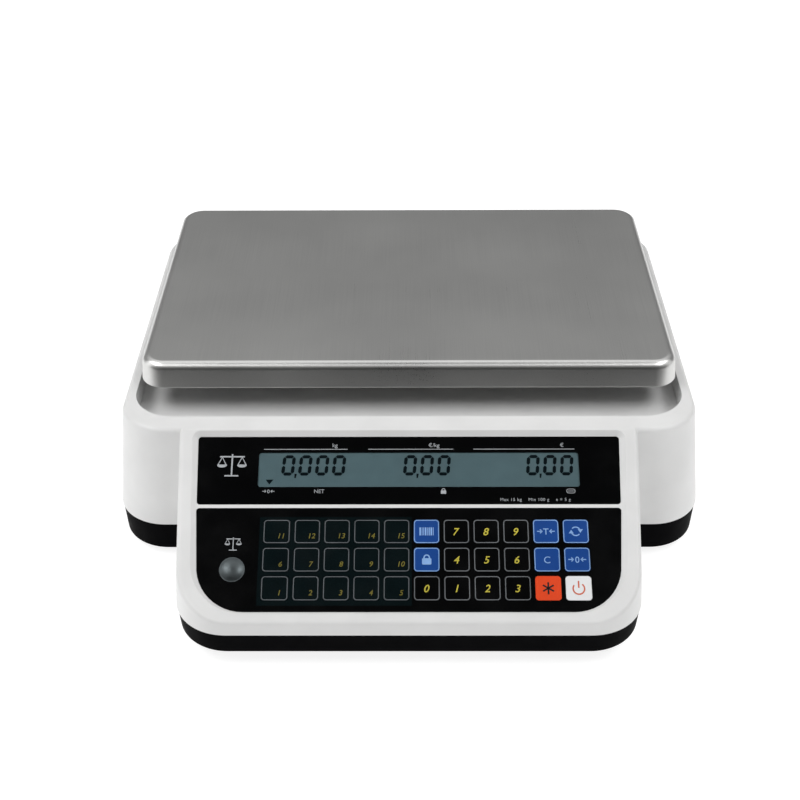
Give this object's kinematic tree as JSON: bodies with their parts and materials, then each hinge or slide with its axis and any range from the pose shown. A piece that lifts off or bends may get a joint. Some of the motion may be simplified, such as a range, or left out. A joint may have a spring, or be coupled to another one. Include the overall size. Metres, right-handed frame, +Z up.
{
  "type": "price computing counter scale",
  "caption": "Price computing counter scale: a brushed stainless platter on a load cell, over a two-part plastic case with a sloped display and membrane keypad.",
  "frame": {"origin": "centre of the case's plan outline, on the surface the feet stand on", "axes": "+X is the operator's right, +Y runs from the operator's console to the back, +Z is up"},
  "size_m": [0.38, 0.38, 0.118],
  "materials": {
    "case_white": "fine-textured off-white moulded ABS",
    "base_black": "fine-textured black moulded ABS",
    "platter_steel": "drawn stainless sheet, brushed from front to back",
    "carrier_aluminium": "die-cast, bead blasted",
    "pad_rubber": "moulded black rubber",
    "cell_aluminium": "milled bar, clear anodised",
    "bracket_steel": "zinc plated steel",
    "screw_steel": "zinc plated",
    "window_black": "black printed polycarbonate, gloss",
    "lcd_grey": "grey-green reflective liquid crystal glass",
    "board_green": "green solder mask",
    "overlay_black": "black printed membrane foil, gloss",
    "key_black": "black printed foil, gloss",
    "key_blue": "blue printed foil, gloss",
    "key_orange": "red-orange printed foil, gloss",
    "key_white": "white printed foil, gloss",
    "dome_rubber": "moulded silicone sheet",
    "level_silver": "clear vial in a silvered cup",
    "battery_grey": "dark grey moulded case",
    "jack_black": "black moulded nylon",
    "foot_rubber": "black rubber pad on a threaded stem"
  },
  "bodies": {
    "case": {"upper_case": "case_white", "lower_case": "base_black", "load_cell": "cell_aluminium", "load_cell_bracket": "bracket_steel", "load_cell_bolts": "screw_steel", "overload_stop": "screw_steel", "display_window": "window_black", "lcd_panel": "lcd_grey", "display_board": "board_green", "keypad_overlay": "overlay_black", "dome_sheet": "dome_rubber", "keypad_board": "board_green", "bubble_level": "level_silver", "main_board": "board_green", "battery": "battery_grey", "power_jack": "jack_black", "rear_window": "window_black", "rear_lcd": "lcd_grey", "case_screws": "screw_steel"},
    "platter": {"platter": "platter_steel"},
    "carrier": {"platter_support": "carrier_aluminium", "support_pads": "pad_rubber"},
    "battery_cover": {"battery_cover": "base_black"},
    "foot_front_left": {"foot_front_left": "foot_rubber"},
    "foot_front_right": {"foot_front_right": "foot_rubber"},
    "foot_rear_left": {"foot_rear_left": "foot_rubber"},
    "foot_rear_right": {"foot_rear_right": "foot_rubber"},
    "key_preset_11": {"key_preset_11": "key_black"},
    "key_preset_12": {"key_preset_12": "key_black"},
    "key_preset_13": {"key_preset_13": "key_black"},
    "key_preset_14": {"key_preset_14": "key_black"},
    "key_preset_15": {"key_preset_15": "key_black"},
    "key_code": {"key_code": "key_blue"},
    "key_digit_7": {"key_digit_7": "key_black"},
    "key_digit_8": {"key_digit_8": "key_black"},
    "key_digit_9": {"key_digit_9": "key_black"},
    "key_tare": {"key_tare": "key_blue"},
    "key_change": {"key_change": "key_blue"},
    "key_preset_6": {"key_preset_6": "key_black"},
    "key_preset_7": {"key_preset_7": "key_black"},
    "key_preset_8": {"key_preset_8": "key_black"},
    "key_preset_9": {"key_preset_9": "key_black"},
    "key_preset_10": {"key_preset_10": "key_black"},
    "key_fix": {"key_fix": "key_blue"},
    "key_digit_4": {"key_digit_4": "key_black"},
    "key_digit_5": {"key_digit_5": "key_black"},
    "key_digit_6": {"key_digit_6": "key_black"},
    "key_clear": {"key_clear": "key_blue"},
    "key_zero": {"key_zero": "key_blue"},
    "key_preset_1": {"key_preset_1": "key_black"},
    "key_preset_2": {"key_preset_2": "key_black"},
    "key_preset_3": {"key_preset_3": "key_black"},
    "key_preset_4": {"key_preset_4": "key_black"},
    "key_preset_5": {"key_preset_5": "key_black"},
    "key_digit_0": {"key_digit_0": "key_black"},
    "key_digit_1": {"key_digit_1": "key_black"},
    "key_digit_2": {"key_digit_2": "key_black"},
    "key_digit_3": {"key_digit_3": "key_black"},
    "key_total": {"key_total": "key_orange"},
    "key_power": {"key_power": "key_white"}
  },
  "joints": [
    {"name": "platter_lift", "type": "slide", "parent": "carrier", "child": "platter", "axis": [0, 0, 1], "range_m": [0, 0.06]},
    {"name": "load_cell_flex", "type": "slide", "parent": "case", "child": "carrier", "axis": [0, 0, 1], "range_m": [-0.0005, 0], "stiffness_N_per_m": 100000, "springref_m": 0.0003},
    {"name": "battery_cover_slide", "type": "slide", "parent": "case", "child": "battery_cover", "axis": [0, 1, 0], "range_m": [0, 0.09]},
    {"name": "foot_front_left_screw", "type": "slide", "parent": "case", "child": "foot_front_left", "axis": [0, 0, -1], "range_m": [0, 0.004]},
    {"name": "foot_front_right_screw", "type": "slide", "parent": "case", "child": "foot_front_right", "axis": [0, 0, -1], "range_m": [0, 0.004]},
    {"name": "foot_rear_left_screw", "type": "slide", "parent": "case", "child": "foot_rear_left", "axis": [0, 0, -1], "range_m": [0, 0.004]},
    {"name": "foot_rear_right_screw", "type": "slide", "parent": "case", "child": "foot_rear_right", "axis": [0, 0, -1], "range_m": [0, 0.004]},
    {"name": "key_preset_11_press", "type": "slide", "parent": "case", "child": "key_preset_11", "axis": [0, -0.5146, 0.8574], "range_m": [-0.0005, 0], "stiffness_N_per_m": 1000},
    {"name": "key_preset_12_press", "type": "slide", "parent": "case", "child": "key_preset_12", "axis": [0, -0.5146, 0.8574], "range_m": [-0.0005, 0], "stiffness_N_per_m": 1000},
    {"name": "key_preset_13_press", "type": "slide", "parent": "case", "child": "key_preset_13", "axis": [0, -0.5146, 0.8574], "range_m": [-0.0005, 0], "stiffness_N_per_m": 1000},
    {"name": "key_preset_14_press", "type": "slide", "parent": "case", "child": "key_preset_14", "axis": [0, -0.5146, 0.8574], "range_m": [-0.0005, 0], "stiffness_N_per_m": 1000},
    {"name": "key_preset_15_press", "type": "slide", "parent": "case", "child": "key_preset_15", "axis": [0, -0.5146, 0.8574], "range_m": [-0.0005, 0], "stiffness_N_per_m": 1000},
    {"name": "key_code_press", "type": "slide", "parent": "case", "child": "key_code", "axis": [0, -0.5146, 0.8574], "range_m": [-0.0005, 0], "stiffness_N_per_m": 1000},
    {"name": "key_digit_7_press", "type": "slide", "parent": "case", "child": "key_digit_7", "axis": [0, -0.5146, 0.8574], "range_m": [-0.0005, 0], "stiffness_N_per_m": 1000},
    {"name": "key_digit_8_press", "type": "slide", "parent": "case", "child": "key_digit_8", "axis": [0, -0.5146, 0.8574], "range_m": [-0.0005, 0], "stiffness_N_per_m": 1000},
    {"name": "key_digit_9_press", "type": "slide", "parent": "case", "child": "key_digit_9", "axis": [0, -0.5146, 0.8574], "range_m": [-0.0005, 0], "stiffness_N_per_m": 1000},
    {"name": "key_tare_press", "type": "slide", "parent": "case", "child": "key_tare", "axis": [0, -0.5146, 0.8574], "range_m": [-0.0005, 0], "stiffness_N_per_m": 1000},
    {"name": "key_change_press", "type": "slide", "parent": "case", "child": "key_change", "axis": [0, -0.5146, 0.8574], "range_m": [-0.0005, 0], "stiffness_N_per_m": 1000},
    {"name": "key_preset_6_press", "type": "slide", "parent": "case", "child": "key_preset_6", "axis": [0, -0.5146, 0.8574], "range_m": [-0.0005, 0], "stiffness_N_per_m": 1000},
    {"name": "key_preset_7_press", "type": "slide", "parent": "case", "child": "key_preset_7", "axis": [0, -0.5146, 0.8574], "range_m": [-0.0005, 0], "stiffness_N_per_m": 1000},
    {"name": "key_preset_8_press", "type": "slide", "parent": "case", "child": "key_preset_8", "axis": [0, -0.5146, 0.8574], "range_m": [-0.0005, 0], "stiffness_N_per_m": 1000},
    {"name": "key_preset_9_press", "type": "slide", "parent": "case", "child": "key_preset_9", "axis": [0, -0.5146, 0.8574], "range_m": [-0.0005, 0], "stiffness_N_per_m": 1000},
    {"name": "key_preset_10_press", "type": "slide", "parent": "case", "child": "key_preset_10", "axis": [0, -0.5146, 0.8574], "range_m": [-0.0005, 0], "stiffness_N_per_m": 1000},
    {"name": "key_fix_press", "type": "slide", "parent": "case", "child": "key_fix", "axis": [0, -0.5146, 0.8574], "range_m": [-0.0005, 0], "stiffness_N_per_m": 1000},
    {"name": "key_digit_4_press", "type": "slide", "parent": "case", "child": "key_digit_4", "axis": [0, -0.5146, 0.8574], "range_m": [-0.0005, 0], "stiffness_N_per_m": 1000},
    {"name": "key_digit_5_press", "type": "slide", "parent": "case", "child": "key_digit_5", "axis": [0, -0.5146, 0.8574], "range_m": [-0.0005, 0], "stiffness_N_per_m": 1000},
    {"name": "key_digit_6_press", "type": "slide", "parent": "case", "child": "key_digit_6", "axis": [0, -0.5146, 0.8574], "range_m": [-0.0005, 0], "stiffness_N_per_m": 1000},
    {"name": "key_clear_press", "type": "slide", "parent": "case", "child": "key_clear", "axis": [0, -0.5146, 0.8574], "range_m": [-0.0005, 0], "stiffness_N_per_m": 1000},
    {"name": "key_zero_press", "type": "slide", "parent": "case", "child": "key_zero", "axis": [0, -0.5146, 0.8574], "range_m": [-0.0005, 0], "stiffness_N_per_m": 1000},
    {"name": "key_preset_1_press", "type": "slide", "parent": "case", "child": "key_preset_1", "axis": [0, -0.5146, 0.8574], "range_m": [-0.0005, 0], "stiffness_N_per_m": 1000},
    {"name": "key_preset_2_press", "type": "slide", "parent": "case", "child": "key_preset_2", "axis": [0, -0.5146, 0.8574], "range_m": [-0.0005, 0], "stiffness_N_per_m": 1000},
    {"name": "key_preset_3_press", "type": "slide", "parent": "case", "child": "key_preset_3", "axis": [0, -0.5146, 0.8574], "range_m": [-0.0005, 0], "stiffness_N_per_m": 1000},
    {"name": "key_preset_4_press", "type": "slide", "parent": "case", "child": "key_preset_4", "axis": [0, -0.5146, 0.8574], "range_m": [-0.0005, 0], "stiffness_N_per_m": 1000},
    {"name": "key_preset_5_press", "type": "slide", "parent": "case", "child": "key_preset_5", "axis": [0, -0.5146, 0.8574], "range_m": [-0.0005, 0], "stiffness_N_per_m": 1000},
    {"name": "key_digit_0_press", "type": "slide", "parent": "case", "child": "key_digit_0", "axis": [0, -0.5146, 0.8574], "range_m": [-0.0005, 0], "stiffness_N_per_m": 1000},
    {"name": "key_digit_1_press", "type": "slide", "parent": "case", "child": "key_digit_1", "axis": [0, -0.5146, 0.8574], "range_m": [-0.0005, 0], "stiffness_N_per_m": 1000},
    {"name": "key_digit_2_press", "type": "slide", "parent": "case", "child": "key_digit_2", "axis": [0, -0.5146, 0.8574], "range_m": [-0.0005, 0], "stiffness_N_per_m": 1000},
    {"name": "key_digit_3_press", "type": "slide", "parent": "case", "child": "key_digit_3", "axis": [0, -0.5146, 0.8574], "range_m": [-0.0005, 0], "stiffness_N_per_m": 1000},
    {"name": "key_total_press", "type": "slide", "parent": "case", "child": "key_total", "axis": [0, -0.5146, 0.8574], "range_m": [-0.0005, 0], "stiffness_N_per_m": 1000},
    {"name": "key_power_press", "type": "slide", "parent": "case", "child": "key_power", "axis": [0, -0.5146, 0.8574], "range_m": [-0.0005, 0], "stiffness_N_per_m": 1000}
  ]
}
